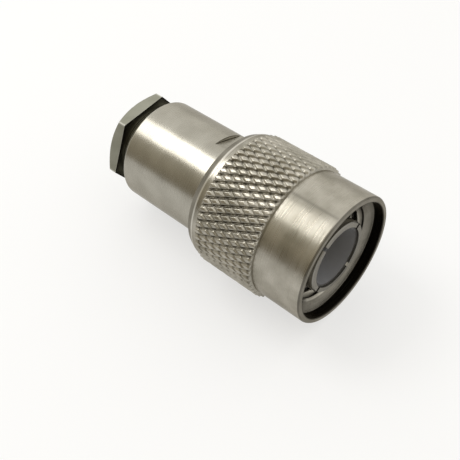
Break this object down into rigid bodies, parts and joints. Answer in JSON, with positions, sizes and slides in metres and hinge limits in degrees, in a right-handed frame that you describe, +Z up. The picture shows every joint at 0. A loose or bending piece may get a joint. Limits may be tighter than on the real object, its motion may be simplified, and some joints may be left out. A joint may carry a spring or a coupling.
{
  "type": "threaded coaxial plug connector",
  "caption": "Cable-clamp coaxial plug: a diamond-knurled coupling nut spins on a turned body, with a slotted spring sleeve in its mouth and a hexagon clamp nut at the cable end.",
  "frame": {"origin": "centre of the coupling nut's mouth, on the plug's axis", "axes": "+X along the plug's axis, out of the mouth; +Z up, with a flat of the clamp nut's hexagon facing up and one facing down"},
  "size_m": [0.0291, 0.0154, 0.0154],
  "materials": {
    "nut_nickel": "satin nickel plate",
    "body_nickel": "satin nickel plate",
    "contact_nickel": "satin nickel plate",
    "gland_nickel": "dull nickel plate",
    "pin_gold": "gold plate",
    "ptfe": "waxy, grey",
    "rubber": "matte"
  },
  "bodies": {
    "plug": {"plug_body": "body_nickel", "outer_contact": "contact_nickel", "mating_gasket": "rubber", "retaining_ring": "contact_nickel", "front_insulator": "ptfe", "centre_contact": "pin_gold", "rear_insulator": "ptfe", "braid_clamp": "body_nickel", "cable_gasket": "rubber"},
    "coupling_nut": {"coupling_nut": "nut_nickel"},
    "slip_washer": {"slip_washer": "contact_nickel"},
    "clamp_nut": {"clamp_nut": "gland_nickel"}
  },
  "joints": [
    {"name": "coupling_nut_spin", "type": "hinge", "parent": "plug", "child": "coupling_nut", "pos_m": [-0.0118, 0, 0], "axis": [1, 0, 0], "continuous": true},
    {"name": "clamp_nut_travel", "type": "slide", "parent": "plug", "child": "slip_washer", "axis": [1, 0, 0], "range_m": [-0.0032, 0.0012], "deforming": ["cable_gasket"]},
    {"name": "clamp_nut_turn", "type": "hinge", "parent": "slip_washer", "child": "clamp_nut", "pos_m": [-0.0256, 0, 0], "axis": [1, 0, 0], "range_deg": [-1455, 548]}
  ],
  "couplings": [
    {"joint": "clamp_nut_turn", "follows": "clamp_nut_travel", "rad_per_m": 7915.8}
  ]
}
